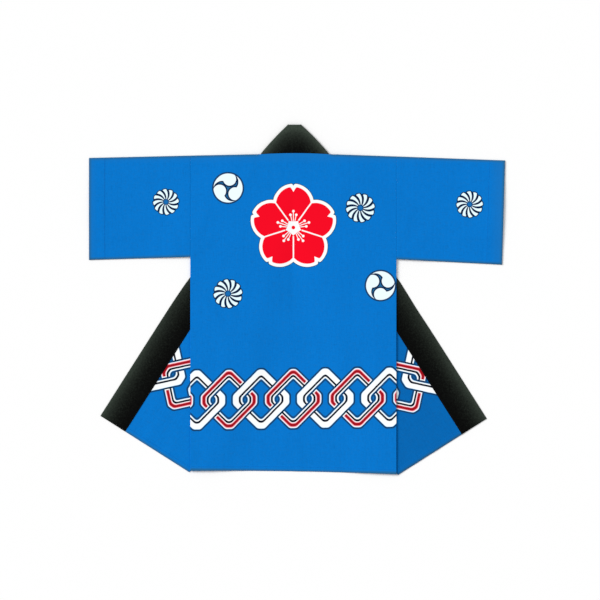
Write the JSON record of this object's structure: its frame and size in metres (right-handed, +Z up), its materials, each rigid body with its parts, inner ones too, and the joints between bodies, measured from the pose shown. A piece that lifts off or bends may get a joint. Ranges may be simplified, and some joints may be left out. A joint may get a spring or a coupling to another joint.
{
  "type": "happi coat",
  "caption": "Open-fronted cotton festival coat with straight sleeves and a long band collar, laid flat back up with its fronts turned out.",
  "frame": {"origin": "centre of the coat's bounding box, on the surface that the coat lies on", "axes": "+X from the wearer's left sleeve to the right sleeve, +Y from the hem to the neck, +Z up off the surface"},
  "size_m": [1.2478, 1.0516, 0.0069],
  "materials": {
    "printed_cotton": "matt plain-weave cotton, bright blue with a white, red and dark blue festival print",
    "collar_cotton": "matt black cotton, a little worn and grey towards its folded edge"
  },
  "bodies": {
    "root": {"back_panel": "printed_cotton", "front_left": "printed_cotton", "front_right": "printed_cotton", "sleeve_left": "printed_cotton", "sleeve_right": "printed_cotton", "collar_neck": "collar_cotton", "collar_left": "collar_cotton", "collar_right": "collar_cotton"}
  },
  "joints": []
}
